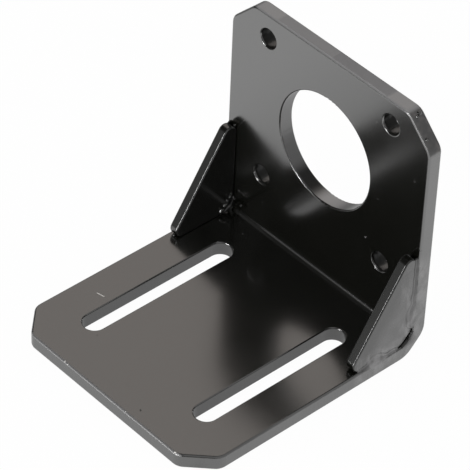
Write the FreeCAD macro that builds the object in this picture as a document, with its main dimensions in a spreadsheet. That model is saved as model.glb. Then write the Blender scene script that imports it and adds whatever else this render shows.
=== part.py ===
import FreeCAD, Part
import math
import os
import Sketcher

# Motor mounting bracket: one bent steel sheet, stiffened by two corner gussets that are
# welded to its side edges. Lengths are in millimetres.
# X runs across the width, +Y from the base's front edge to the back of the upright, +Z is up.
# The origin is the middle of the footprint, on the underside of the base.

SIZES = [
    ("bracket_width", 50.0, "side edge to side edge of the sheet"),
    ("sheet_thickness", 3.0, "base and upright"),
    ("base_reach", 50.5, "front edge of the base to the motor face of the upright"),
    ("upright_rise", 48.5, "top of the base to the top edge of the upright"),
    ("bend_inner_radius", 1.0, "inside of the bend"),
    ("bend_outer_setback", 4.1, "flattening of the bend's outside, from its virtual corner"),
    ("bend_outer_rounding", 4.0, "where that flattening runs into the flat sheet"),
    ("top_corner_cut", 5.6, "upper corners of the upright, along each side"),
    ("front_corner_cut", 5.3, "front corners of the base, along each side"),
    ("corner_softening", 2.6, "plan rounding where a corner cut meets an edge"),
    ("rim_rounding", 0.45, "sheared edges of the sheet, both faces"),
    ("motor_axis_rise", 28.0, "top of the base to the motor's axis"),
    ("pilot_bore", 23.0, "opening for the motor's 22 mm pilot boss"),
    ("screw_spacing", 31.0, "side of the square of motor screws"),
    ("screw_hole", 4.0, "3 mm motor screws with room to adjust"),
    ("hole_rim_rounding", 0.25, "rims of the motor's openings and of the slots"),
    ("slot_width", 4.5, "4 mm fixing screws"),
    ("slot_spacing", 30.0, "between the two slots"),
    ("slot_setback", 7.5, "near end of a slot from the motor face"),
    ("slot_front_margin", 8.5, "far end of a slot from the base's front edge"),
    ("gusset_thickness", 2.0, "side plates"),
    ("gusset_inset", 0.5, "outer face of a gusset inside the sheet's side edge"),
    ("gusset_rise", 23.3, "sharp corner to sharp corner, up the upright"),
    ("gusset_reach", 15.2, "sharp corner to sharp corner, along the base"),
    ("gusset_top_rounding", 1.5, "upper tip of a gusset"),
    ("gusset_front_rounding", 1.5, "front tip of a gusset"),
    ("gusset_bend_clearance", 1.7, "added to the bend's radius for the gusset's inner corner cut"),
    ("gusset_cut_rounding", 1.0, "both ends of the gusset's inner corner cut"),
    ("gusset_rim_rounding", 0.35, "sheared edges of a gusset, both faces"),
    ("weld_toe", 2.0, "weld metal over the outer face of a gusset"),
    ("weld_flush", 0.07, "weld metal below the sheet's side edge"),
    ("weld_crown_rounding", 1.4, "top of the weld bead"),
    ("weld_root", 0.9, "depth of the weld from the sheet's side edge"),
    ("weld_start_setback", 0.5, "bare seam between a gusset's corner cut and its welds"),
    ("weld_top_margin", 4.0, "upper end of a weld from the gusset's sharp upper corner"),
    ("weld_front_margin", 2.4, "front end of a weld from the gusset's sharp front corner"),
    ("weld_ripple", 0.16, "share by which the bead's width wanders"),
]

doc = FreeCAD.newDocument("MotorBracket")
sheet = doc.addObject("Spreadsheet::Sheet", "Sizes")
for row, (alias, size, meaning) in enumerate(SIZES, start=1):
    sheet.set(f"A{row}", alias)
    sheet.set(f"B{row}", str(size))
    sheet.setAlias(f"B{row}", alias)
    sheet.set(f"C{row}", meaning)
doc.recompute()

# Places that several pieces share, each worked out from the sheet.
FRONT = "-(Sizes.base_reach + Sizes.sheet_thickness) / 2"
BACK = "(Sizes.base_reach + Sizes.sheet_thickness) / 2"
MOTOR_FACE = "(Sizes.base_reach - Sizes.sheet_thickness) / 2"
BASE_TOP = "Sizes.sheet_thickness"
TOP = "(Sizes.upright_rise + Sizes.sheet_thickness)"
MOTOR_AXIS = "(Sizes.motor_axis_rise + Sizes.sheet_thickness)"
SIDE_EDGE = "Sizes.bracket_width / 2"
GUSSET_FACE = "(Sizes.bracket_width / 2 - Sizes.gusset_inset)"
CORNER_CUT = "(Sizes.bend_inner_radius + Sizes.gusset_bend_clearance)"

RIGHT, LEFT = 1, -1
HANDS = {RIGHT: "right", LEFT: "left"}


def number(expression):
    """The present value of an expression on the sheet, in millimetres."""
    found = sheet.evalExpression(expression)
    return float(getattr(found, "Value", found))


def new_body(name):
    body = doc.addObject("PartDesign::Body", name)
    body.Label = name
    return body


def new_sketch(body, name, plane_role, offset=None):
    """A sketch on one of the body's origin planes, moved along its normal by an expression."""
    sketch = body.newObject("Sketcher::SketchObject", name)
    plane = [item for item in body.Origin.OriginFeatures if item.Role == plane_role][0]
    sketch.AttachmentSupport = [(plane, "")]
    sketch.MapMode = "FlatFace"
    if offset:
        sketch.setExpression("AttachmentOffset.Base.z", offset)
    return sketch


def drive(sketch, name, constraint, expression):
    """Add a dimension to a sketch under its own name and tie it to the sheet."""
    place = sketch.addConstraint(constraint)
    sketch.renameConstraint(place, name)
    sketch.setExpression("Constraints." + name, expression)


def fix_point(sketch, name, geometry, vertex, across, up):
    """Hold a point of a sketch at a place measured from the sketch's origin."""
    origin = (-1, 1)
    drive(sketch, name + "_across",
          Sketcher.Constraint("DistanceX", *origin, geometry, vertex, number(across)), across)
    drive(sketch, name + "_up",
          Sketcher.Constraint("DistanceY", *origin, geometry, vertex, number(up)), up)


def draw_outline(sketch, corners):
    """Draw a closed outline of straight sides through named corners.

    Each corner is (name, across, up, rounding). Its sharp point is a construction point that
    is held by the sheet, the sides run through these points, and a corner with a rounding
    gets an arc that is tangent to both of its sides.
    """
    count = len(corners)
    sharp = [FreeCAD.Vector(number(across), number(up), 0) for _, across, up, _ in corners]
    begin, end = list(sharp), list(sharp)
    arcs = {}
    for place, (_, _, _, rounding) in enumerate(corners):
        if rounding is None:
            continue
        here = sharp[place]
        to_last = (sharp[place - 1] - here).normalize()
        to_next = (sharp[(place + 1) % count] - here).normalize()
        half_angle = to_last.getAngle(to_next) / 2
        setback = number(rounding) / math.tan(half_angle)
        end[place] = here + to_last * setback
        begin[place] = here + to_next * setback
        middle = (to_last + to_next).normalize()
        centre = here + middle * (number(rounding) / math.sin(half_angle))
        arcs[place] = Part.Arc(end[place], centre - middle * number(rounding), begin[place])

    points = []
    for place, (name, across, up, _) in enumerate(corners):
        points.append(sketch.addGeometry(Part.Point(sharp[place]), True))
        fix_point(sketch, name, points[place], 1, across, up)
    sides = []
    for place in range(count):
        following = (place + 1) % count
        side = sketch.addGeometry(Part.LineSegment(begin[place], end[following]), False)
        sketch.addConstraint(Sketcher.Constraint("PointOnObject", points[place], 1, side))
        sketch.addConstraint(Sketcher.Constraint("PointOnObject", points[following], 1, side))
        sides.append(side)
    for place, (name, _, _, rounding) in enumerate(corners):
        arriving, leaving = sides[place - 1], sides[place]
        if rounding is None:
            sketch.addConstraint(Sketcher.Constraint("Coincident", arriving, 2, leaving, 1))
            continue
        arc = sketch.addGeometry(arcs[place], False)
        # An arc keeps its own anticlockwise sense, so its start may face either side.
        starts_here = sketch.getPoint(arc, 1).distanceToPoint(end[place]) < 1e-6
        first, last = (1, 2) if starts_here else (2, 1)
        sketch.addConstraint(Sketcher.Constraint("Tangent", arriving, 2, arc, first))
        sketch.addConstraint(Sketcher.Constraint("Tangent", leaving, 1, arc, last))
        drive(sketch, name + "_rounding",
              Sketcher.Constraint("Radius", arc, number(rounding)), rounding)


def pad(body, name, sketch, thickness, both_ways=False):
    feature = body.newObject("PartDesign::Pad", name)
    feature.Profile = sketch
    feature.Midplane = both_ways
    feature.setExpression("Length", thickness)
    doc.recompute()
    return feature


def cut_through(body, name, sketch):
    """Cut a sketch through the whole body, both ways from the sketch's plane."""
    before = body.Shape.Volume
    feature = body.newObject("PartDesign::Pocket", name)
    feature.Profile = sketch
    feature.Type = "ThroughAll"
    feature.Midplane = True
    doc.recompute()
    if body.Shape.Volume > before - 1.0:
        raise RuntimeError(name + " removed nothing")
    return feature


def edges_where(shape, wanted):
    """Names of the edges that a test on the edge accepts."""
    return [f"Edge{place}" for place, edge in enumerate(shape.Edges, start=1) if wanted(edge)]


def dress(body, kind, name, wanted, size):
    """Add a chamfer or fillet to the edges of the body that a test accepts."""
    base = body.Tip
    feature = body.newObject("PartDesign::" + kind, name)
    feature.Base = (base, edges_where(base.Shape, wanted))
    feature.setExpression("Size" if kind == "Chamfer" else "Radius", size)
    doc.recompute()
    return feature


def middle_of(edge):
    return edge.valueAt((edge.FirstParameter + edge.LastParameter) / 2)


def near(value, expression, slack=1e-4):
    return abs(value - number(expression)) < slack


def runs_through_sheet(edge, at_front):
    """A straight edge as long as the sheet is thick, at the base's front or the upright's top."""
    if edge.Curve.TypeId != "Part::GeomLine" or not near(edge.Length, "Sizes.sheet_thickness"):
        return False
    at = middle_of(edge)
    return near(at.z, BASE_TOP + " / 2") if at_front else near(at.y, f"({BACK} + {MOTOR_FACE}) / 2")


def on_outline(edge):
    """An edge where a face of the sheet meets its sheared side, front, top or corner cut."""
    at = middle_of(edge)
    if runs_through_sheet(edge, True) or runs_through_sheet(edge, False):
        return False
    if near(abs(at.x), SIDE_EDGE):
        return True
    if near(at.z, "0") or near(at.z, BASE_TOP):
        return at.y < number(f"{FRONT} + Sizes.front_corner_cut + Sizes.corner_softening")
    return at.z > number(f"{TOP} - Sizes.top_corner_cut - Sizes.corner_softening")


def make_bent_plate():
    """Base and upright: one blank with cut corners, bent once."""
    body = new_body("bent_plate")
    bend_front = f"({BACK} - Sizes.bend_outer_setback)"
    profile = new_sketch(body, "PlateProfile", "YZ_Plane")
    draw_outline(profile, [
        ("front_under", FRONT, "0", None),
        ("bend_under", bend_front, "0", "Sizes.bend_outer_rounding"),
        ("bend_back", BACK, "Sizes.bend_outer_setback", "Sizes.bend_outer_rounding"),
        ("top_back", BACK, TOP, None),
        ("top_front", MOTOR_FACE, TOP, None),
        ("bend_inside", MOTOR_FACE, BASE_TOP, "Sizes.bend_inner_radius"),
        ("front_top", FRONT, BASE_TOP, None),
    ])
    pad(body, "BentSheet", profile, "Sizes.bracket_width", both_ways=True)
    dress(body, "Chamfer", "FrontCornerCuts",
          lambda edge: runs_through_sheet(edge, True), "Sizes.front_corner_cut")
    dress(body, "Chamfer", "TopCornerCuts",
          lambda edge: runs_through_sheet(edge, False), "Sizes.top_corner_cut")
    dress(body, "Fillet", "CornerSoftening",
          lambda edge: runs_through_sheet(edge, True) or runs_through_sheet(edge, False),
          "Sizes.corner_softening")
    dress(body, "Fillet", "RimRounding", on_outline, "Sizes.rim_rounding")
    cut_motor_openings(body)
    cut_slots(body)
    return body


def cut_motor_openings(body):
    """Pilot bore and the four screw holes round it, through the upright."""
    openings = new_sketch(body, "MotorOpenings", "XZ_Plane")
    half_square = "Sizes.screw_spacing / 2"
    places = [("pilot", "0", MOTOR_AXIS, "Sizes.pilot_bore / 2")]
    for across in (LEFT, RIGHT):
        for up in (-1, 1):
            name = f"screw_{HANDS[across]}_{'upper' if up > 0 else 'lower'}"
            places.append((name, f"{across} * {half_square}",
                           f"{MOTOR_AXIS} + {up} * {half_square}", "Sizes.screw_hole / 2"))
    for name, across, up, radius in places:
        centre = FreeCAD.Vector(number(across), number(up), 0)
        circle = sketch_circle(openings, centre, number(radius))
        fix_point(openings, name, circle, 3, across, up)
        drive(openings, name + "_radius",
              Sketcher.Constraint("Radius", circle, number(radius)), radius)
    cut_through(body, "MotorHoles", openings)
    dress(body, "Fillet", "MotorHoleRims",
          lambda edge: edge.Curve.TypeId == "Part::GeomCircle" and edge.isClosed(),
          "Sizes.hole_rim_rounding")


def sketch_circle(sketch, centre, radius):
    return sketch.addGeometry(Part.Circle(centre, FreeCAD.Vector(0, 0, 1), radius), False)


def cut_slots(body):
    """Two slots along the base: one is drawn on the right and mirrored to the left."""
    outline = new_sketch(body, "SlotOutline", "XY_Plane")
    middle = "Sizes.slot_spacing / 2"
    near_centre = f"({MOTOR_FACE} - Sizes.slot_setback - Sizes.slot_width / 2)"
    far_centre = f"({FRONT} + Sizes.slot_front_margin + Sizes.slot_width / 2)"
    radius = number("Sizes.slot_width / 2")
    ends = []
    for centre, start in ((near_centre, 0), (far_centre, math.pi)):
        circle = Part.Circle(FreeCAD.Vector(number(middle), number(centre), 0),
                             FreeCAD.Vector(0, 0, 1), radius)
        ends.append(outline.addGeometry(Part.ArcOfCircle(circle, start, start + math.pi), False))
    for this, other in ((0, 1), (1, 0)):
        side = Part.LineSegment(outline.getPoint(ends[this], 2), outline.getPoint(ends[other], 1))
        line = outline.addGeometry(side, False)
        outline.addConstraint(Sketcher.Constraint("Tangent", line, 1, ends[this], 2))
        outline.addConstraint(Sketcher.Constraint("Tangent", line, 2, ends[other], 1))
    fix_point(outline, "near_end", ends[0], 3, middle, near_centre)
    fix_point(outline, "far_end", ends[1], 3, middle, far_centre)
    drive(outline, "end_radius", Sketcher.Constraint("Radius", ends[0], radius),
          "Sizes.slot_width / 2")
    slot = cut_through(body, "RightSlot", outline)
    mirrored = body.newObject("PartDesign::Mirrored", "BothSlots")
    mirrored.Originals = [slot]
    mirrored.MirrorPlane = (outline, ["V_Axis"])
    body.Tip = mirrored
    doc.recompute()

    def on_slot_rim(edge):
        at = middle_of(edge)
        on_face = near(at.z, "0") or near(at.z, BASE_TOP)
        beside = abs(abs(at.x) - number(middle)) < radius + 1e-4
        along = number(far_centre) - radius - 1e-4 < at.y < number(near_centre) + radius + 1e-4
        return on_face and beside and along

    dress(body, "Fillet", "SlotRims", on_slot_rim, "Sizes.hole_rim_rounding")


def make_gusset(hand):
    """Corner plate that stands on the base and against the upright."""
    name = HANDS[hand] + "_gusset"
    body = new_body(name)
    inner_edge = GUSSET_FACE if hand == LEFT else f"({GUSSET_FACE} - Sizes.gusset_thickness)"
    profile = new_sketch(body, name + "_profile", "YZ_Plane", f"{hand} * {inner_edge}")
    draw_outline(profile, [
        ("cut_on_base", f"{MOTOR_FACE} - {CORNER_CUT}", BASE_TOP, "Sizes.gusset_cut_rounding"),
        ("cut_on_upright", MOTOR_FACE, f"{BASE_TOP} + {CORNER_CUT}",
         "Sizes.gusset_cut_rounding"),
        ("top_tip", MOTOR_FACE, f"{BASE_TOP} + Sizes.gusset_rise", "Sizes.gusset_top_rounding"),
        ("front_tip", f"{MOTOR_FACE} - Sizes.gusset_reach", BASE_TOP,
         "Sizes.gusset_front_rounding"),
    ])
    pad(body, name + "_plate", profile, "Sizes.gusset_thickness")
    flat_sides = [number(f"{hand} * {GUSSET_FACE}"),
                  number(f"{hand} * ({GUSSET_FACE} - Sizes.gusset_thickness)")]
    dress(body, "Fillet", name + "_rims",
          lambda edge: min(abs(middle_of(edge).x - side) for side in flat_sides) < 1e-4,
          "Sizes.gusset_rim_rounding")
    return body


# Each weld is a loft through sections that stand across its seam. A section covers a strip of
# the gusset's outer face, the groove at the seam and the rounded rim of the sheet.
WELD_SECTIONS = 9
RIPPLE_STEP = 2.2  # radians of the width's wander from one section to the next
TAPER_POWER = 0.4  # below 1, so that the bead keeps its width until near its ends
TOE_AT_ROOT = 1.25  # reach of the toe at the bead's root, against weld_toe
CROWN_REACH = 0.45  # reach of the bead's highest part, against weld_toe


def bead_share(place):
    """How wide the bead is at a section: full along its run, tapered at both ends."""
    half_step = 0.5
    run = (place + half_step) / WELD_SECTIONS
    taper = math.sin(math.pi * run) ** TAPER_POWER
    return f"{taper:.4f} * (1 + Sizes.weld_ripple * {math.sin(RIPPLE_STEP * place):.4f})"


def make_weld(hand, seam, sheet_body, gusset_body):
    """Bead along the upright or the base, trimmed to the metal that it joins."""
    name = f"{HANDS[hand]}_{seam}_weld"
    bead = new_body(name + "_bead")
    plane_role = "XY_Plane" if seam == "upright" else "XZ_Plane"
    # Over the gusset is -Y at the upright's seam, and +Z at the base's seam.
    seam_line, over_gusset = (MOTOR_FACE, -1) if seam == "upright" else (BASE_TOP, 1)
    start = f"({CORNER_CUT} + Sizes.weld_start_setback)"
    if seam == "upright":
        far_end = "(Sizes.gusset_rise - Sizes.weld_top_margin)"
    else:
        far_end = "(Sizes.gusset_reach - Sizes.weld_front_margin)"
    surface = f"{hand} * ({SIDE_EDGE} - Sizes.weld_flush)"
    root = f"{hand} * ({SIDE_EDGE} - Sizes.weld_root)"
    rim = f"{seam_line} - {over_gusset} * Sizes.rim_rounding"
    sections = []
    for place in range(WELD_SECTIONS):
        share = place / (WELD_SECTIONS - 1)
        run = f"({start} + {share:.4f} * ({far_end} - {start}))"
        station = f"{BASE_TOP} + {run}" if seam == "upright" else f"{run} - {MOTOR_FACE}"
        toe = f"{over_gusset} * Sizes.weld_toe * {bead_share(place)}"
        section = new_sketch(bead, f"{name}_section_{place + 1}", plane_role, station)
        draw_outline(section, [
            ("toe", root, f"{seam_line} + {TOE_AT_ROOT} * {toe}", None),
            ("crown", surface, f"{seam_line} + {CROWN_REACH} * {toe}",
             "Sizes.weld_crown_rounding"),
            ("rim", surface, rim, None),
            ("root", root, rim, None),
        ])
        sections.append(section)
    loft = bead.newObject("PartDesign::AdditiveLoft", name + "_loft")
    loft.Profile = sections[0]
    loft.Sections = sections[1:]
    doc.recompute()
    without_sheet = doc.addObject("Part::Cut", name + "_off_sheet")
    without_sheet.Base = bead
    without_sheet.Tool = sheet_body
    weld = doc.addObject("Part::Cut", name)
    weld.Base = without_sheet
    weld.Tool = gusset_body
    weld.Label = name
    doc.recompute()
    return weld


plate = make_bent_plate()
pieces = [plate]
for hand in (LEFT, RIGHT):
    gusset = make_gusset(hand)
    pieces.append(gusset)
    for seam in ("upright", "base"):
        pieces.append(make_weld(hand, seam, plate, gusset))
doc.recompute()

for item in doc.Objects:
    if "Invalid" in item.State or "Error" in item.State:
        raise RuntimeError(f"{item.Label} failed: {item.State}")
for piece in pieces:
    if piece.Shape.isNull() or not piece.Shape.isValid():
        raise RuntimeError(piece.Label + " has no valid shape")

os.makedirs("parts", exist_ok=True)
for piece in pieces:
    piece.Shape.exportStep(f"parts/{piece.Label}.step")
    print(f"{piece.Label}: {len(piece.Shape.Solids)} solid, {piece.Shape.Volume:.1f} mm3")
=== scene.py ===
"""Looks of a bent steel motor bracket: gloss black paint and its marks, welds and a studio."""

import math

import bmesh
import bpy
from bpy.props import FloatProperty, FloatVectorProperty, PointerProperty
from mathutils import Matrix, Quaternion, Vector, noise


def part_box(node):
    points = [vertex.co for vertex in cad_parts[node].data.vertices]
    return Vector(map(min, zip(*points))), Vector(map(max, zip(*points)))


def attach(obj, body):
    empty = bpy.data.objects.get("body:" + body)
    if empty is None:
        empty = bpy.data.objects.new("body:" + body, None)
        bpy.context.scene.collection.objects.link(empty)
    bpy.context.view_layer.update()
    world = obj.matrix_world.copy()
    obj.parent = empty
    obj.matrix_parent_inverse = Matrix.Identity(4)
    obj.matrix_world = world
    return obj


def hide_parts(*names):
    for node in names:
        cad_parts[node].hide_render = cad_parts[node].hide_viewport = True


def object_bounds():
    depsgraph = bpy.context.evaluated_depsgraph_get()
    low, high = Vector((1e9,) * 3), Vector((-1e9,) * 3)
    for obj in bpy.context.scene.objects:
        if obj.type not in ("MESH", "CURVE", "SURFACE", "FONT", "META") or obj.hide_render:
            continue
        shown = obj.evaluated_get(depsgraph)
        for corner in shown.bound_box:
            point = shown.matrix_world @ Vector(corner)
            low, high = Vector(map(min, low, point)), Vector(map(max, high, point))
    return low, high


bl_info = {
    "name": "Motor Bracket Looks",
    "version": (1, 0, 0),
    "blender": (4, 5, 0),
    "location": "View3D > Sidebar > Bracket",
    "description": "Gloss black paint for a welded motor bracket, with floor, lights and camera",
    "category": "Material",
}

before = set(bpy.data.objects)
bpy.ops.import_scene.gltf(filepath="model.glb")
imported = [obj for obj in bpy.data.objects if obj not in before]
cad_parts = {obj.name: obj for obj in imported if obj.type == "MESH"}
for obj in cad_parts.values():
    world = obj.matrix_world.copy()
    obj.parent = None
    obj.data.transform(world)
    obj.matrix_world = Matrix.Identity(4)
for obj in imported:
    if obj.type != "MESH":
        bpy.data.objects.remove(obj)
CAD_LOW, CAD_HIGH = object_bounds()

MM = 0.001
ROOT = "root"
PLATE = "bent_plate"
GUSSETS = ("left_gusset", "right_gusset")
WELDS = ("left_upright_weld", "left_base_weld", "right_upright_weld", "right_base_weld")
HANDS = {"left": -1, "right": 1}
WHITE = (1.0, 1.0, 1.0, 1.0)

# Places on the frame, in millimetres: shader coordinates are in millimetres too.
GUSSET_LOW, GUSSET_HIGH = (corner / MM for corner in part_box(GUSSETS[1]))
BASE_TOP = GUSSET_LOW.z
MOTOR_FACE = GUSSET_HIGH.y
GUSSET_FACE = GUSSET_HIGH.x
GUSSET_INSIDE = GUSSET_LOW.x
GUSSET_TOP = GUSSET_HIGH.z
GUSSET_FRONT = GUSSET_LOW.y
SIDE_EDGE = CAD_HIGH.x / MM
FRONT_EDGE = CAD_LOW.y / MM
TOP_EDGE = CAD_HIGH.z / MM
MOTOR_AXIS = 31.0  # above the underside
PILOT_RADIUS = 11.5  # of the large round opening
SCREW_CIRCLE = 21.92  # from the motor's axis to a screw hole's
SCREW_SPACING = 31.0
CORNER_CUT = 5.6  # cut of the upright's upper corners, along each side
BEND_RADIUS = 1.0  # inside the bend
SLIT_CUT = 2.7  # cut of a gusset's inner corner, along each side

# Each seam's weld, in millimetres: its start and end along the seam, and the width of its toe
# over the gusset at places along it.
WELD_RUNS = {
    "upright": (BASE_TOP + 3.0, GUSSET_TOP - 0.2, (
        (6.0, 1.3), (8.0, 1.9), (10.3, 1.9), (12.2, 0.9), (16.0, 0.7), (20.0, 0.8), (24.0, 0.9),
        (26.0, 0.5))),
    "base": (GUSSET_FRONT + 1.0, MOTOR_FACE - 3.0, (
        (9.6, 0.5), (12.6, 0.9), (14.7, 2.3), (16.5, 1.7), (18.3, 0.7), (21.0, 0.6))),
}
WELD_TAPER = 0.08  # share of a seam over which a weld tapers at each end
WELD_LAP = 0.5  # over the sheet's rounded rim
WELD_FLUSH = 0.01  # below the sheet's side edge
WELD_ROOT = 0.2  # inside the gusset's face
WELD_TOE = 0.02  # that a toe dips into the gusset's face
WELD_RIDGE = 0.2  # place of a weld's raised edge, as a share of its width

# Marks on the bracket, in millimetres: a chip or a drop of spatter has its middle and its
# radius, and the scratch has its two ends on the base.
CHIPS = (
    ((-10.4, FRONT_EDGE, BASE_TOP), 0.42),
    ((-9.6, FRONT_EDGE, BASE_TOP - 0.15), 0.25),
    ((6.0, FRONT_EDGE + 0.1, BASE_TOP), 0.24),
    ((19.0, FRONT_EDGE + 0.1, BASE_TOP - 0.05), 0.38),
)
SCRATCH = ((-20.6, -10.85), (-18.9, -10.45))
SPATTER = (
    ((-23.2, MOTOR_FACE, 22.2), 0.26),
    ((-20.5, MOTOR_FACE, 4.9), 0.24),
    ((-14.8, MOTOR_FACE, 9.3), 0.16),
    ((-23.7, 10.2, BASE_TOP), 0.28),
    ((-15.9, 20.3, BASE_TOP), 0.17),
    ((-17.2, 15.4, BASE_TOP), 0.15),
    ((11.7, MOTOR_FACE, 18.7), 0.2),
    ((22.1, MOTOR_FACE, 38.3), 0.2),
    ((7.4, -24.4, BASE_TOP), 0.17),
    ((20.0, 25.6, 50.85), 0.42),
    ((20.25, 24.95, 50.6), 0.3),
    ((23.2, 24.6, 47.65), 0.36),
    ((-22.45, 23.0, 6.8), 0.2),
    ((-22.45, 22.7, 6.3), 0.32),
    ((-22.45, 22.1, 5.7), 0.26),
    ((-22.45, 21.4, 4.9), 0.4),
    ((-22.45, 20.6, 4.1), 0.55),
    ((22.45, 22.6, 6.2), 0.25),
    ((22.45, 21.0, 4.3), 0.33),
    ((24.76, 23.96, 24.3), 0.23),
    ((24.8, 24.2, 23.2), 0.18),
)

# The camera looks at this point.
AIM = Vector((-7.287, 10.045, 14.087)) * MM

# Directions from the bracket to the lamps and to the room's bright side.
KEY_DIRECTION = (0.0, -0.94, 0.32)
STRIP_DIRECTION = (-0.16, -0.985, 0.045)
PANEL_DIRECTION = (-0.548, 0.52, 0.655)
BRIGHT_SIDE = (0.74, 0.10, 0.66)
PANEL_COLOUR = (1.0, 0.925, 0.87)

# A colour Mix node's sockets, by place.
MIX_SHARE, MIX_LOW, MIX_HIGH, MIX_COLOUR = 0, 6, 7, 2


class Socket:
    """An output of a shader node. Python's operators on it add Math nodes."""

    def __init__(self, drawing, node, output):
        self.drawing = drawing
        self.node = node
        self.socket = node.outputs[output] if node.outputs else None

    def other(self, output):
        """Another output of the same node."""
        return Socket(self.drawing, self.node, output)

    def __add__(self, other):
        return self.drawing.maths("ADD", self, other)

    def __sub__(self, other):
        return self.drawing.maths("SUBTRACT", self, other)

    def __mul__(self, other):
        return self.drawing.maths("MULTIPLY", self, other)

    def __truediv__(self, other):
        return self.drawing.maths("DIVIDE", self, other)

    def __radd__(self, other):
        return self.drawing.maths("ADD", other, self)

    def __rsub__(self, other):
        return self.drawing.maths("SUBTRACT", other, self)

    def __rmul__(self, other):
        return self.drawing.maths("MULTIPLY", other, self)

    def __rtruediv__(self, other):
        return self.drawing.maths("DIVIDE", other, self)

    def __abs__(self):
        return self.drawing.maths("ABSOLUTE", self)

    def smallest(self, other):
        """The smaller of this and another number."""
        return self.drawing.maths("MINIMUM", self, other)

    def largest(self, other):
        """The larger of this and another number."""
        return self.drawing.maths("MAXIMUM", self, other)

    def rise(self, low, high):
        """0 below low, 1 above high and a smooth step between; high may be the lower one."""
        settings = {"interpolation_type": "SMOOTHSTEP"}
        inputs = {"Value": self, "From Min": low, "From Max": high}
        return self.drawing.node("ShaderNodeMapRange", settings, inputs)


class Drawing:
    """A shader tree that is being drawn. Every node comes from its node method."""

    def __init__(self, owner):
        owner.use_nodes = True
        self.tree = owner.node_tree
        self.tree.nodes.clear()

    def node(self, kind, settings=None, inputs=None, output=0):
        """Add a node, set its own settings first and then its sockets' values or links."""
        made = self.tree.nodes.new(kind)
        for name, setting in (settings or {}).items():
            setattr(made, name, setting)
        for place, given in (inputs or {}).items():
            if isinstance(given, Socket):
                self.tree.links.new(given.socket, made.inputs[place])
            else:
                made.inputs[place].default_value = given
        return Socket(self, made, output)

    def maths(self, operation, *values):
        """A Math node on sockets and plain numbers."""
        return self.node("ShaderNodeMath", {"operation": operation}, dict(enumerate(values)))

    def vectors(self, operation, inputs, output=0):
        """A Vector Math node."""
        return self.node("ShaderNodeVectorMath", {"operation": operation}, inputs, output)

    def mix(self, share, low, high):
        """A colour that goes from low to high."""
        inputs = {MIX_SHARE: share, MIX_LOW: low, MIX_HIGH: high}
        return self.node("ShaderNodeMix", {"data_type": "RGBA"}, inputs, MIX_COLOUR)


class SurfaceDrawing(Drawing):
    """A material's tree with the object's own coordinates, in millimetres."""

    def __init__(self, material):
        super().__init__(material)
        coordinates = self.node("ShaderNodeTexCoord", output="Object")
        self.place = self.vectors("SCALE", {0: coordinates, "Scale": 1 / MM})
        split = self.node("ShaderNodeSeparateXYZ", inputs={"Vector": self.place})
        self.x, self.y, self.z = split, split.other("Y"), split.other("Z")

    def normal(self):
        """How far the surface faces along X, Y and Z, each from 0 to 1."""
        facing = self.node("ShaderNodeTexCoord", output="Normal")
        split = self.node("ShaderNodeSeparateXYZ", inputs={"Vector": facing})
        return abs(split), abs(split.other("Y")), abs(split.other("Z"))

    def noise(self, size, detail=2.0, distortion=0.0, stretch=(1.0, 1.0, 1.0)):
        """Soft noise from 0 to 1 whose features are about size millimetres across."""
        scaled = self.vectors("MULTIPLY", {0: self.place, 1: stretch})
        inputs = {"Vector": scaled, "Scale": 1 / size, "Detail": detail,
                  "Distortion": distortion}
        return self.node("ShaderNodeTexNoise", inputs=inputs)

    def cells(self, size):
        """Distance to the nearest of scattered points, in millimetres."""
        inputs = {"Vector": self.place, "Scale": 1 / size}
        return self.node("ShaderNodeTexVoronoi", inputs=inputs) * size

    def distance_to(self, point, stretch=(1.0, 1.0, 1.0)):
        """Distance to a point in millimetres, with each axis stretched by a factor."""
        moved = self.vectors("SUBTRACT", {0: self.place, 1: point})
        scaled = self.vectors("MULTIPLY", {0: moved, 1: stretch})
        return self.vectors("LENGTH", {0: scaled}, "Value")


class BracketPaint(bpy.types.PropertyGroup):
    """Sizes and colours of the paint film."""

    colour: FloatVectorProperty(
        name="Paint", description="Colour of the paint film", subtype="COLOR", size=3,
        min=0, max=1, default=(0.0019, 0.0020, 0.0010))
    bare_steel: FloatVectorProperty(
        name="Bare steel", description="Colour where the paint is chipped", subtype="COLOR",
        size=3, min=0, max=1, default=(0.62, 0.60, 0.57))
    # Lighter rim colour: rubbed paint, and in part a painted highlight that stands in for the
    # rims' bright reflections.
    rubbed_and_highlight: FloatVectorProperty(
        name="Rubbed paint", description="Colour of the thin, dull paint along rubbed rims",
        subtype="COLOR", size=3, min=0, max=1, default=(0.18, 0.177, 0.18))
    ground: FloatVectorProperty(
        name="Ground weld", description="Colour of the thin paint over ground welds",
        subtype="COLOR", size=3, min=0, max=1, default=(0.30, 0.295, 0.30))
    gloss: FloatProperty(
        name="Gloss", description="Roughness of the paint film", min=0, max=1, default=0.17)
    mirror_index: FloatProperty(
        name="Mirror index", description="How strongly the sheet's film mirrors its surroundings",
        min=1, max=3, default=2.52)
    gusset_index: FloatProperty(
        name="Gusset mirror index", description="The same for the thinner film on the gussets",
        min=1, max=3, default=2.05)
    dry_index: FloatProperty(
        name="Dry mirror index", description="The same for dry film, as inside the screw holes",
        min=1, max=3, default=1.3)
    haze_weight: FloatProperty(
        name="Haze", description="Share of the faint haze round the film's reflections", min=0,
        max=1, default=0.06)
    haze_roughness: FloatProperty(
        name="Haze width", description="Roughness of that haze", min=0, max=1, default=0.42)
    peel_size: FloatProperty(
        name="Peel", description="Width of the film's fine dimples", unit="LENGTH",
        default=1.1 * MM)
    peel_depth: FloatProperty(
        name="Peel depth", description="Depth of the film's fine dimples", unit="LENGTH",
        precision=6, default=0.0012 * MM)
    wave_size: FloatProperty(
        name="Waves", description="Width of the slow waves left by rolling the sheet",
        unit="LENGTH", default=11 * MM)
    wave_depth: FloatProperty(
        name="Wave depth", description="Depth of those waves", unit="LENGTH", precision=6,
        default=0.02 * MM)


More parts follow.
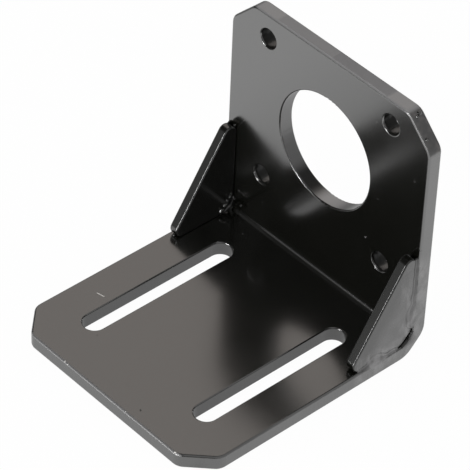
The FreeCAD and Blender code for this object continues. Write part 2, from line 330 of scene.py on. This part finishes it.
class BracketStudio(bpy.types.PropertyGroup):
    """Sizes and levels of the studio."""

    floor_size: FloatProperty(
        name="Floor", description="Side of the square floor", unit="LENGTH",
        default=60 * (CAD_HIGH.x - CAD_LOW.x))
    surround: FloatProperty(
        name="Surround", description="Level of the room's soft light", min=0, default=0.7)
    key_level: FloatProperty(
        name="Key", description="Brightness of the small lamp in front", min=0, default=52.0)
    panel_level: FloatProperty(
        name="Panel", description="Brightness of the large panel behind on the left", min=0,
        default=0.68)
    strip_level: FloatProperty(
        name="Strip", description="Brightness of the long low lamp in front", min=0, default=28.0)
    azimuth: FloatProperty(
        name="Azimuth", description="Camera's way round the bracket, from straight in front",
        subtype="ANGLE", default=math.radians(46.503))
    elevation: FloatProperty(
        name="Elevation", description="Camera's height over the floor", subtype="ANGLE",
        default=math.radians(40.895))
    roll: FloatProperty(
        name="Roll", description="Tilt of the camera about its own line of sight",
        subtype="ANGLE", default=math.radians(2.586))
    distance: FloatProperty(
        name="Distance", description="Camera to the point it looks at", unit="LENGTH",
        default=568.956 * MM)
    focal_length: FloatProperty(
        name="Lens", description="Focal length in millimetres", min=1, default=244.704)


def opaque(colour, brightness=1.0):
    """A colour with the fourth value that a shader's socket takes."""
    return (*(brightness * channel for channel in colour), 1.0)


def film_height(drawing, paint):
    """Height of the film over the steel in millimetres: slow waves, dimples and dust nibs."""
    nib_spread, nib_radius, nib_height = 4.2, 0.2, 0.035
    waves = drawing.noise(paint.wave_size / MM, detail=1.0) * (paint.wave_depth / MM)
    peel = drawing.noise(paint.peel_size / MM) * (paint.peel_depth / MM)
    nibs = drawing.cells(nib_spread).rise(nib_radius, 0) * nib_height
    return waves + peel + nibs


class Film:
    """A paint film that is being drawn: sound gloss black at first, to which marks are added."""

    def __init__(self, drawing, paint):
        smudge_size, smudge_change = 7.0, 0.05
        cloud_size, cloud_share, cloud_brightness = 5.0, 0.5, 1.4
        self.drawing = drawing
        self.paint = paint
        smudges = drawing.noise(smudge_size, detail=3.0, distortion=0.4)
        clouds = drawing.noise(cloud_size, detail=3.0) * cloud_share
        self.height = film_height(drawing, paint)
        self.roughness = paint.gloss + (smudges - 0.5) * smudge_change
        self.colour = drawing.mix(clouds, opaque(paint.colour),
                                  opaque(paint.colour, cloud_brightness))
        self.dry = None  # share of the film that is dry

    def tint(self, share, colour):
        """Lay another colour over a share of the film."""
        self.colour = self.drawing.mix(share, self.colour, opaque(colour))


def outward(drawing):
    """1 on the gussets' outer faces and on the sheet's side edges, 0 on all that lies inside."""
    turned_out = (0.55, 0.85)
    along_x, _, _ = drawing.normal()
    outside = abs(drawing.x).rise(GUSSET_FACE - 0.5, GUSSET_FACE - 0.1)
    return outside * along_x.rise(*turned_out)


def beside_seams(drawing):
    """1 along the outsides of the seams, with a wandering edge, and 0 away from them."""
    wander_size, least_reach, more_reach = 3.4, 0.6, 4.4
    fading = (1.3, 0.4)  # as shares of the reach
    wander = drawing.noise(wander_size, detail=1.5, distortion=0.6)
    reach = least_reach + wander * more_reach
    over_upright = (MOTOR_FACE - drawing.y) / reach
    over_base = (drawing.z - BASE_TOP) / reach
    height_limit = drawing.z.rise(GUSSET_TOP + 1, GUSSET_TOP - 3)
    front_limit = drawing.y.rise(GUSSET_FRONT - 1, GUSSET_FRONT + 2)
    beside_upright = abs(over_upright).rise(*fading) * height_limit
    beside_base = abs(over_base).rise(*fading) * front_limit
    return beside_upright.largest(beside_base) * outward(drawing)


def ground_share(drawing, everywhere):
    """How thin the paint is where welds were ground; everywhere is the share on a whole face."""
    streak_size, least_near, more_in_streaks = 2.6, 0.08, 0.32
    cloud_size, least_cloud = 6.5, 0.5
    in_streak, in_cloud = (0.38, 0.68), (0.25, 0.8)
    slope_fade = (1.02, 0.62)  # 1 is the gusset's sloping edge
    streaks = drawing.noise(streak_size, distortion=0.9, stretch=(1.0, 1.25, 0.7))
    near = beside_seams(drawing) * (least_near + streaks.rise(*in_streak) * more_in_streaks)
    to_slope = ((MOTOR_FACE - drawing.y) / (MOTOR_FACE - GUSSET_FRONT)
                + (drawing.z - BASE_TOP) / (GUSSET_TOP - BASE_TOP))
    face = outward(drawing) * to_slope.rise(*slope_fade)
    clouds = drawing.noise(cloud_size, distortion=0.5).rise(*in_cloud)
    return near + face * (clouds * everywhere + everywhere * least_cloud)


def mark_seams(film, everywhere=0.0):
    """Add the lumps and the ground, thin paint beside the welds."""
    lump_size, least_lump, more_lump = 1.8, 0.03, 0.08
    drawing = film.drawing
    lumps = drawing.noise(lump_size, detail=1.5, distortion=0.8)
    film.height = film.height + beside_seams(drawing) * (least_lump + lumps * more_lump)
    film.tint(ground_share(drawing, everywhere).smallest(1.0), film.paint.ground)


def mark_ground_face(film):
    """Add the same on a gusset or a weld, whose whole outer face was ground."""
    mark_seams(film, everywhere=0.2)


def mark_gusset_rims(film):
    """Make all of a gusset's rims rougher, and its outer rims dull from grinding too."""
    extra_roughness, dry_share = 0.12, 0.4
    turned, turned_a_little, not_flat = (0.05, 0.3), (0.05, 0.2), (0.99, 0.93)
    drawing = film.drawing
    along_x, _, _ = drawing.normal()
    rims = along_x.rise(*turned) * along_x.rise(*not_flat)
    film.roughness = film.roughness + rims * extra_roughness
    outside = abs(drawing.x).rise(GUSSET_FACE - 0.45, GUSSET_FACE - 0.25)
    film.dry = outside * along_x.rise(*turned_a_little) * along_x.rise(*not_flat) * dry_share


def mark_corner(film):
    """Add the knock on the upright's upper right corner: dents under dull, touched-up paint."""
    touched_up = (0.05, 0.04, 0.037)
    dent_size, dent_depth, extra_roughness = 1.1, 0.09, 0.42
    turned_to_cut, high_dents = (0.03, 0.3), (0.4, 0.75)
    drawing = film.drawing
    along_x, _, along_z = drawing.normal()
    cut_line = SIDE_EDGE + TOP_EDGE - CORNER_CUT
    near_cut = (drawing.x + drawing.z).rise(cut_line - 1.5, cut_line - 0.9)
    knocked = near_cut * (along_x * along_z).rise(*turned_to_cut)
    dents = drawing.noise(dent_size)
    film.height = film.height + knocked * dents * dent_depth
    film.roughness = film.roughness + knocked * extra_roughness
    film.tint(knocked * dents.rise(*high_dents), touched_up)


def sheared_walls(drawing):
    """1 on the walls of the upright's openings, and 1 on the walls of the base's slots."""
    sideways = (0.5, 0.2)
    _, along_y, along_z = drawing.normal()
    in_upright = along_y.rise(*sideways) * drawing.y.rise(MOTOR_FACE + 0.1, MOTOR_FACE + 0.5)
    in_base = along_z.rise(*sideways) * drawing.z.rise(BASE_TOP - 0.1, BASE_TOP - 0.5)
    return in_upright, in_base * drawing.y.rise(MOTOR_FACE - 3, MOTOR_FACE - 5)


def mark_walls(film):
    """Add streaks to the sheared walls, thick dry paint in the openings, and a painted highlight
    in the round one.
    """
    streak_width, streak_stretch, streak_height = 0.5, 0.12, 0.035
    lump_size, lump_height = 1.5, 0.22
    pilot_roughness, hole_roughness = 0.24, 0.1
    dry_hole, more_dry_hole, dry_band, highlight_share = 0.45, 0.45, 0.85, 0.6
    left_of_hole = (-0.1, -1.3)
    band_left, band_right, band_top = (-8.2, -6.0), (-1.0, -3.6), (26.0, 23.0)
    highlight_left, highlight_right, highlight_top = (-2.6, 0.2), (6.0, 3.0), (22.0, 20.5)
    drawing = film.drawing
    in_upright, in_base = sheared_walls(drawing)
    from_axis = drawing.distance_to((0.0, 0.0, MOTOR_AXIS), stretch=(1.0, 0.0, 1.0))
    in_pilot = in_upright * from_axis.rise(PILOT_RADIUS + 1, PILOT_RADIUS + 0.5)
    in_hole = (in_upright * from_axis.rise(PILOT_RADIUS + 1, PILOT_RADIUS + 2)
               * from_axis.rise(SCREW_CIRCLE + 3, SCREW_CIRCLE + 2.5))
    streaks = (drawing.noise(streak_width, stretch=(1.0, streak_stretch, 1.0)) * in_upright
               + drawing.noise(streak_width, stretch=(1.0, 1.0, streak_stretch)) * in_base)
    lumps = drawing.noise(lump_size, detail=1.0) * in_hole
    film.height = film.height + streaks * streak_height + lumps * lump_height
    film.roughness = film.roughness + in_pilot * pilot_roughness + in_hole * hole_roughness

    # The screw holes are dry, most of all on their left. The round opening has a dry band on the
    # lower left of its wall, and a painted highlight at the bottom, in the ground-weld grey.
    right_half = drawing.x.rise(-1.0, 1.0)
    from_hole = drawing.x - right_half * SCREW_SPACING + SCREW_SPACING / 2
    in_hole_dry = in_hole * (dry_hole + from_hole.rise(*left_of_hole) * more_dry_hole)
    band = (drawing.x.rise(*band_left) * drawing.x.rise(*band_right)
            * drawing.z.rise(*band_top))
    film.dry = in_hole_dry + in_pilot * band * dry_band
    # Painted highlight: the lighter patch named thin below stands in for a bright reflection at
    # the bottom of the round opening's wall.
    thin = (drawing.x.rise(*highlight_left) * drawing.x.rise(*highlight_right)
            * drawing.z.rise(*highlight_top))
    film.tint(in_pilot * thin * highlight_share, film.paint.ground)


def mark_rims(film):
    """Roughen and lighten the rims along the base's front edge and the upright's top edge: rubbed
    paint, and in part a painted highlight.
    """
    front_share, extra_roughness = 0.6, 0.35
    turned_both_ways, turned_up = (0.06, 0.3), (0.05, 0.3)
    drawing = film.drawing
    _, along_y, along_z = drawing.normal()
    on_rim = (along_y * along_z).rise(*turned_both_ways)
    front = drawing.y.rise(FRONT_EDGE + 0.7, FRONT_EDGE + 0.5)
    top = drawing.z.rise(TOP_EDGE - 0.36, TOP_EDGE - 0.04) * along_z.rise(*turned_up)
    rims = (on_rim * front * front_share).largest(top)
    film.roughness = film.roughness + rims * extra_roughness
    # Painted highlight in part: the lighter rim colour also stands in for the rims' bright
    # reflections.
    film.tint(rims, film.paint.rubbed_and_highlight)


def scratch_mask(drawing, ragged):
    """1 on the scratch on the base, 0 off it."""
    raggedness, half_width, past_end, short_of_end = 0.25, (0.13, 0.07), 0.05, 0.1
    (x_start, y_start), (x_end, y_end) = SCRATCH
    length = math.hypot(x_end - x_start, y_end - y_start)
    along_x, along_y = (x_end - x_start) / length, (y_end - y_start) / length
    from_x, from_y = drawing.x - x_start, drawing.y - y_start
    along = from_x * along_x + from_y * along_y
    aside = abs(from_y * along_x - from_x * along_y + (ragged - 0.5) * raggedness)
    within = (along.rise(-past_end, short_of_end)
              * along.rise(length + past_end, length - short_of_end))
    on_top = drawing.z.rise(BASE_TOP - 0.3, BASE_TOP - 0.1)
    return aside.rise(*half_width) * within * on_top


def mark_chips(film):
    """Chip and scratch the paint down to bare steel."""
    ragged_size, chip_depth, extra_roughness = 0.35, 0.05, 0.3
    outer_edge, inner_edge = 1.15, 0.95  # as shares of a chip's radius
    drawing = film.drawing
    ragged = drawing.noise(ragged_size)
    chips = scratch_mask(drawing, ragged)
    for middle, radius in CHIPS:
        from_middle = drawing.distance_to(middle) + ragged * radius
        chips = chips.largest(from_middle.rise(radius * outer_edge, radius * inner_edge))
    film.height = film.height - chips * chip_depth
    film.roughness = film.roughness + chips * extra_roughness
    film.tint(chips, film.paint.bare_steel)


PLATE_MARKS = (mark_seams, mark_corner, mark_walls, mark_rims, mark_chips)
GUSSET_MARKS = (mark_gusset_rims, mark_ground_face)


def paint_material(name, paint, mirror_index, marks=()):
    """Gloss black paint: dark pigment under a clear mirror film, with marks added in order."""
    dry_roughness = 0.6
    material = bpy.data.materials.new(name)
    drawing = SurfaceDrawing(material)
    film = Film(drawing, paint)
    for mark in marks:
        mark(film)
    bump = drawing.node("ShaderNodeBump", inputs={"Height": film.height, "Distance": MM})
    surface = drawing.node("ShaderNodeBsdfPrincipled", inputs={
        "Base Color": film.colour,
        "Roughness": film.roughness,
        "IOR": mirror_index,
        "Coat Weight": paint.haze_weight,
        "Coat Roughness": paint.haze_roughness,
        "Normal": bump,
    })
    if film.dry is not None:
        dry = drawing.node("ShaderNodeBsdfPrincipled", inputs={
            "Base Color": film.colour,
            "Roughness": dry_roughness,
            "IOR": paint.dry_index,
            "Normal": bump,
        })
        surface = drawing.node("ShaderNodeMixShader", inputs={0: film.dry, 1: surface, 2: dry})
    drawing.node("ShaderNodeOutputMaterial", inputs={"Surface": surface})
    return material


def give(node_name, material):
    """Paint one of the bracket's own pieces."""
    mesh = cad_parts[node_name].data
    mesh.materials.clear()
    mesh.materials.append(material)


def add_piece(mesh, material):
    """Add a painted piece that rides on the bracket."""
    mesh.materials.append(material)
    piece = bpy.data.objects.new(mesh.name, mesh)
    bpy.context.scene.collection.objects.link(piece)
    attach(piece, ROOT)
    return piece


class PaintPlate(bpy.types.Operator):
    """Paint the bent plate, with its chips, scratch and weld smears."""

    bl_idname = "bracket.paint_plate"
    bl_label = "Paint Plate"

    def execute(self, context):
        paint = context.scene.bracket_paint
        give(PLATE, paint_material("plate_paint", paint, paint.mirror_index, PLATE_MARKS))
        return {"FINISHED"}


class PaintGussets(bpy.types.Operator):
    """Paint both gussets, with the weld smears on their outer faces."""

    bl_idname = "bracket.paint_gussets"
    bl_label = "Paint Gussets"

    def execute(self, context):
        paint = context.scene.bracket_paint
        material = paint_material("gusset_paint", paint, paint.gusset_index, GUSSET_MARKS)
        for name in GUSSETS:
            give(name, material)
        return {"FINISHED"}


def eased(share):
    """A share from 0 to 1 with a smooth start and end."""
    return share * share * (3 - 2 * share)


def between(stops, place):
    """A smooth value at a place along (place, value) stops in rising order."""
    for (start, low), (end, high) in zip(stops, stops[1:]):
        if place <= end:
            return low + (high - low) * eased(max(0.0, (place - start) / (end - start)))
    return stops[-1][1]


def weld_surface(hand, seam, run, share):
    """A point of a weld's outside: run along its seam and share across it, toe to sheet edge."""
    wander_rate, wander_width = 0.55, 0.35
    least_width, end_width, end_height = 0.15, 0.3, 0.35
    ridge_spread, ridge_height = 0.1, 0.08
    lump_rate_along, lump_rate_across, lump_height = 0.5, 0.6, 0.12
    wander_seed, lump_seed = 7.0 * hand, 3.0 * hand
    start, end, widths = WELD_RUNS[seam]
    along = start + (end - start) * run
    taper = math.sqrt(max(0.0, min(1.0, run / WELD_TAPER, (1 - run) / WELD_TAPER)))
    wander = noise.noise(Vector((along * wander_rate, wander_seed, start)))
    width = between(widths, along) + wander_width * wander
    width = max(width * (end_width + (1 - end_width) * taper), least_width)
    across = WELD_LAP * share - width * (1 - share)
    lump = noise.noise(Vector((along * lump_rate_along, across * lump_rate_across,
                               lump_seed + start)))
    ridge = math.exp(-((share - WELD_RIDGE) / ridge_spread) ** 2)
    full = SIDE_EDGE - WELD_FLUSH - GUSSET_FACE
    height = full * eased(share) * (end_height + (1 - end_height) * taper)
    height += (ridge_height * ridge + lump_height * lump * math.sin(math.pi * share)) * taper
    x = hand * (GUSSET_FACE + min(full, height) - WELD_TOE)
    if seam == "upright":
        return Vector((x, MOTOR_FACE + across, along)) * MM
    return Vector((x, along, BASE_TOP - across)) * MM


def closed_mesh(name, outside, root):
    """A closed mesh between two grids of points with the same number of rows and columns."""
    made = bmesh.new()
    rows, columns = len(outside), len(outside[0])
    top = [[made.verts.new(point) for point in row] for row in outside]
    low = [[made.verts.new(point) for point in row] for row in root]
    for i in range(rows - 1):
        for k in range(columns - 1):
            for grid in (top, low):
                made.faces.new((grid[i][k], grid[i + 1][k], grid[i + 1][k + 1], grid[i][k + 1]))
        for k in (0, columns - 1):
            made.faces.new((top[i][k], top[i + 1][k], low[i + 1][k], low[i][k]))
    for i in (0, rows - 1):
        for k in range(columns - 1):
            made.faces.new((top[i][k], top[i][k + 1], low[i][k + 1], low[i][k]))
    bmesh.ops.recalc_face_normals(made, faces=made.faces)
    mesh = bpy.data.meshes.new(name)
    made.to_mesh(mesh)
    made.free()
    mesh.shade_smooth()
    return mesh


def weld_mesh(name, hand, seam):
    """A bead: its lumpy outside, and a flat root that lies inside the joined metal."""
    steps_along, steps_across = 72, 14
    outside = [[weld_surface(hand, seam, i / steps_along, k / steps_across)
                for k in range(steps_across + 1)] for i in range(steps_along + 1)]
    root_x = hand * (GUSSET_FACE - WELD_ROOT) * MM
    root = [[Vector((root_x, point.y, point.z)) for point in row] for row in outside]
    return closed_mesh(name, outside, root)


def fill_mesh(name, hand, edge, back, proud):
    """A lump of weld metal in the slit at the bend, between its free edge and its hidden back.

    edge and back give, for a share of the way down the slit, the distances in front of the
    upright and above the base. At its back the lump stands proud of the gusset's face.
    """
    steps_along, steps_across = 28, 9
    lump_rate, outer_lump, inner_lump, lump_seed = 1.4, 0.05, 0.1, 5.0 * hand
    edge_depth, inner_gap, inner_round = 0.3, 0.12, 0.4
    outer_rows, inner_rows = [], []
    for i in range(steps_along + 1):
        down = i / steps_along
        (edge_y, edge_z), (back_y, back_z) = edge(down), back(down)
        outer_row, inner_row = [], []
        for k in range(steps_across + 1):
            across = k / steps_across
            in_front = edge_y + (back_y - edge_y) * across
            above = edge_z + (back_z - edge_z) * across
            lump = noise.noise(Vector((in_front * lump_rate, above * lump_rate, lump_seed)))
            rounding = math.sqrt(1 - (1 - across) ** 4)
            outer_x = (GUSSET_FACE - edge_depth + (edge_depth + proud) * rounding
                       + outer_lump * lump)
            outer_x = min(outer_x, SIDE_EDGE - WELD_FLUSH)
            inner_x = (GUSSET_INSIDE + inner_gap + inner_round * (1 - rounding)
                       + inner_lump * lump)
            y, z = MOTOR_FACE - in_front, BASE_TOP + above
            outer_row.append(Vector((hand * outer_x, y, z)) * MM)
            inner_row.append(Vector((hand * inner_x, y, z)) * MM)
        outer_rows.append(outer_row)
        inner_rows.append(inner_row)
    return closed_mesh(name, outer_rows, inner_rows)


def bend_fill_edge(share):
    """Free edge of the lump on the bend's side of the slit."""
    short_of_cut, hollow, fullness = 0.22, 0.85, 0.8
    total = SLIT_CUT - short_of_cut - hollow * math.sin(math.pi * share) ** fullness
    return total * share, total * (1 - share)


def bend_fill_back(share):
    """Back of that lump, inside the sheet's bend."""
    sunk, straight = 0.4, 0.22  # depth in the sheet, and the share beside each face
    turn_rate, turn_start, reach_share = 1.8, 0.4, 0.9
    reach = SLIT_CUT * reach_share
    if share < straight:
        return -sunk, reach - (reach - BEND_RADIUS) * share / straight
    if share > 1 - straight:
        return reach - (reach - BEND_RADIUS) * (1 - share) / straight, -sunk
    turn = math.pi / 2 * min(1.0, max(0.0, share * turn_rate - turn_start))
    radius = BEND_RADIUS + sunk
    return BEND_RADIUS - radius * math.cos(turn), BEND_RADIUS - radius * math.sin(turn)


def gusset_fill_edge(share):
    """Free edge of the lump on the gusset's side of the slit."""
    past_cut, hollow = 0.1, 0.48
    total = SLIT_CUT + past_cut - hollow * math.sin(math.pi * share)
    return total * share, total * (1 - share)


def gusset_fill_back(share):
    """Back of that lump, inside the gusset."""
    past_cut = 0.5
    total = SLIT_CUT + past_cut
    return total * share, total * (1 - share)


class AddWelds(bpy.types.Operator):
    """Add the welds: four beads outside, and the lumps in the slits at the bend."""

    bl_idname = "bracket.add_welds"
    bl_label = "Add Welds"

    def execute(self, context):
        bend_proud, gusset_proud = 0.46, 0.02
        paint = context.scene.bracket_paint
        material = paint_material("weld_paint", paint, paint.gusset_index, GUSSET_MARKS)
        for node in WELDS:
            side, seam, _ = node.split("_")
            bead = add_piece(weld_mesh(node + "_bead", HANDS[side], seam), material)
            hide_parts(node)
        for side, hand in HANDS.items():
            add_piece(fill_mesh(side + "_bend_fill", hand, bend_fill_edge, bend_fill_back,
                                bend_proud), material)
            add_piece(fill_mesh(side + "_slit_fill", hand, gusset_fill_edge, gusset_fill_back,
                                gusset_proud), material)
        return {"FINISHED"}


class AddSpatter(bpy.types.Operator):
    """Add the little drops of weld metal that stick to the bracket."""

    bl_idname = "bracket.add_spatter"
    bl_label = "Add Spatter"

    def execute(self, context):
        lump_share = 0.22
        drops = bmesh.new()
        for centre, radius in SPATTER:
            drop = bmesh.ops.create_icosphere(drops, subdivisions=3, radius=radius)
            place = Vector(centre)
            for vertex in drop["verts"]:
                lump = 1 + lump_share * noise.noise(vertex.co / radius + place)
                vertex.co = (place + vertex.co * lump) * MM
        mesh = bpy.data.meshes.new("weld_spatter")
        drops.to_mesh(mesh)
        drops.free()
        mesh.shade_smooth()
        paint = context.scene.bracket_paint
        add_piece(mesh, paint_material("spatter_paint", paint, paint.mirror_index))
        return {"FINISHED"}


def white_rays(drawing):
    """1 for what the camera sees straight, in a mirror or through glass, and 0 for other rays."""
    camera = drawing.node("ShaderNodeLightPath", output="Is Camera Ray")
    seen = camera + camera.other("Is Glossy Ray") + camera.other("Is Transmission Ray")
    return seen.smallest(1.0)


def floor_material():
    """White floor: it shows nearly white and still takes the bracket's soft shadow.

    Mirrored in the paint it is darker under and beside the bracket, and far out to the sides: a
    painted shadow and painted shade in its glow.
    """
    grain_scale, glow_share = 40.0, 0.975
    under_shadow, beside_shadow, far_shade = 0.52, 0.8, 0.7
    under_fade, beside_fade, far_fade = (-6.0, 0.0), (0.0, 32.0), (90.0, 200.0)
    material = bpy.data.materials.new("studio_floor")
    drawing = SurfaceDrawing(material)
    grain = drawing.node("ShaderNodeTexNoise", inputs={"Scale": grain_scale})
    tone = drawing.mix(grain, opaque((0.80, 0.80, 0.80)), opaque((0.84, 0.84, 0.84)))
    lit = drawing.node("ShaderNodeBsdfDiffuse", inputs={"Color": tone})
    outside = (abs(drawing.x) - SIDE_EDGE).largest(abs(drawing.y) + FRONT_EDGE)
    # Painted shadow under and beside the bracket, and painted shade far to the sides, in the glow
    # that reflections see.
    mirrored = (under_shadow + outside.rise(*under_fade) * (beside_shadow - under_shadow)
                + outside.rise(*beside_fade) * (1 - beside_shadow))
    mirrored = mirrored * (1 - abs(drawing.x).rise(*far_fade) * far_shade)
    glossy = drawing.node("ShaderNodeLightPath", output="Is Glossy Ray")
    glow = drawing.node("ShaderNodeEmission",
                        inputs={"Color": drawing.mix(glossy, WHITE, mirrored)})
    shown = drawing.node("ShaderNodeMixShader",
                         inputs={0: white_rays(drawing) * glow_share, 1: lit, 2: glow})
    drawing.node("ShaderNodeOutputMaterial", inputs={"Surface": shown})
    return material


def light_room(studio):
    """Room light: white behind the bracket, and for reflections dim with bright patches."""
    dim, skirt_level, skirt_right = 0.03, 0.2, 0.3
    skirt_top, skirt_foot, to_left = (0.5, 0.22), (0.0, 0.2), (0.1, -0.5)
    bright_level, bright_edge, bright_core = 0.42, 0.45, 0.8  # edge and core are cosines
    world = bpy.data.worlds.new("studio_room")
    bpy.context.scene.world = world
    drawing = Drawing(world)
    direction = drawing.node("ShaderNodeTexCoord", output="Generated")
    across = drawing.node("ShaderNodeSeparateXYZ", inputs={"Vector": direction})
    up = across.other("Z")
    skirt = up.rise(*skirt_top) * up.rise(*skirt_foot)
    skirt = skirt * (skirt_right + across.rise(*to_left) * (1 - skirt_right)) * skirt_level
    towards = drawing.vectors("DOT_PRODUCT",
                              {0: direction, 1: Vector(BRIGHT_SIDE).normalized()}, "Value")
    mirrored = skirt + dim + towards.rise(bright_edge, bright_core) * bright_level
    rays = drawing.node("ShaderNodeLightPath", output="Is Camera Ray")
    level = drawing.mix(rays.other("Is Glossy Ray"), opaque((studio.surround,) * 3), mirrored)
    background = (rays + rays.other("Is Transmission Ray")).smallest(1.0)
    light = drawing.node("ShaderNodeBackground",
                         inputs={"Color": drawing.mix(background, level, WHITE)})
    drawing.node("ShaderNodeOutputWorld", inputs={"Surface": light})


def add_lamp(name, direction, distance, size, level, colour=WHITE[:3]):
    """A lamp that looks at the bracket, with its width and height and its brightness per area."""
    width, height = size
    lamp = bpy.data.lights.new(name, "AREA")
    lamp.shape = "RECTANGLE"
    lamp.size = width
    lamp.size_y = height
    lamp.energy = level * math.pi * width * height
    lamp.color = colour
    placed = bpy.data.objects.new(name, lamp)
    towards = Vector(direction).normalized()
    middle = (CAD_LOW + CAD_HIGH) / 2
    placed.location = middle + towards * distance
    placed.rotation_mode = "QUATERNION"
    placed.rotation_quaternion = (-towards).to_track_quat("-Z", "Y")
    placed.visible_camera = False
    bpy.context.scene.collection.objects.link(placed)


def add_camera(studio):
    """The camera: on its azimuth and elevation round the aim, then rolled."""
    across = math.cos(studio.elevation)
    back = Vector((math.sin(studio.azimuth) * across, -math.cos(studio.azimuth) * across,
                   math.sin(studio.elevation)))
    camera = bpy.data.cameras.new("camera")
    camera.lens = studio.focal_length
    camera.clip_start = studio.distance / 10
    camera.clip_end = studio.distance * 20
    placed = bpy.data.objects.new("camera", camera)
    placed.location = AIM + back * studio.distance
    placed.rotation_mode = "QUATERNION"
    level_view = (-back).to_track_quat("-Z", "Y")
    placed.rotation_quaternion = level_view @ Quaternion((0, 0, 1), studio.roll)
    bpy.context.scene.collection.objects.link(placed)
    bpy.context.scene.camera = placed


class SetStage(bpy.types.Operator):
    """Lay the floor, light the room and set up the lamps and the camera."""

    bl_idname = "bracket.set_stage"
    bl_label = "Set Stage"

    def execute(self, context):
        studio = context.scene.bracket_studio
        half = studio.floor_size / 2
        gap = 0.02 * MM
        below = CAD_LOW.z - gap
        corners = [(-half, -half, below), (half, -half, below), (half, half, below),
                   (-half, half, below)]
        mesh = bpy.data.meshes.new("floor")
        mesh.from_pydata(corners, [], [(0, 1, 2, 3)])
        mesh.materials.append(floor_material())
        floor = bpy.data.objects.new("floor", mesh)
        context.scene.collection.objects.link(floor)
        light_room(studio)
        add_lamp("key_lamp", KEY_DIRECTION, distance=0.6, size=(0.07, 0.07),
                 level=studio.key_level)
        add_lamp("strip_lamp", STRIP_DIRECTION, distance=0.6, size=(0.3, 0.04),
                 level=studio.strip_level)
        add_lamp("back_panel", PANEL_DIRECTION, distance=0.8, size=(0.75, 0.6),
                 level=studio.panel_level, colour=PANEL_COLOUR)
        add_camera(studio)
        context.scene.view_settings.view_transform = "Standard"
        return {"FINISHED"}


STEPS = (PaintPlate, PaintGussets, AddWelds, AddSpatter, SetStage)


class BracketPanel(bpy.types.Panel):
    """Sizes, colours and steps of the bracket's looks."""

    bl_idname = "VIEW3D_PT_bracket"
    bl_label = "Motor Bracket"
    bl_space_type = "VIEW_3D"
    bl_region_type = "UI"
    bl_category = "Bracket"

    def draw(self, context):
        for group in (context.scene.bracket_paint, context.scene.bracket_studio):
            box = self.layout.box()
            for name in group.__annotations__:
                box.prop(group, name)
        for step in STEPS:
            self.layout.operator(step.bl_idname)


CLASSES = (BracketPaint, BracketStudio, *STEPS, BracketPanel)


def register():
    """Register the classes and give the scene its settings."""
    for item in CLASSES:
        bpy.utils.register_class(item)
    bpy.types.Scene.bracket_paint = PointerProperty(type=BracketPaint)
    bpy.types.Scene.bracket_studio = PointerProperty(type=BracketStudio)


def unregister():
    """Undo register."""
    del bpy.types.Scene.bracket_studio
    del bpy.types.Scene.bracket_paint
    for item in reversed(CLASSES):
        bpy.utils.unregister_class(item)


def main():
    """Run every step in order."""
    register()
    bpy.ops.bracket.paint_plate()
    bpy.ops.bracket.paint_gussets()
    bpy.ops.bracket.add_welds()
    bpy.ops.bracket.add_spatter()
    bpy.ops.bracket.set_stage()


if __name__ == "__main__":
    main()
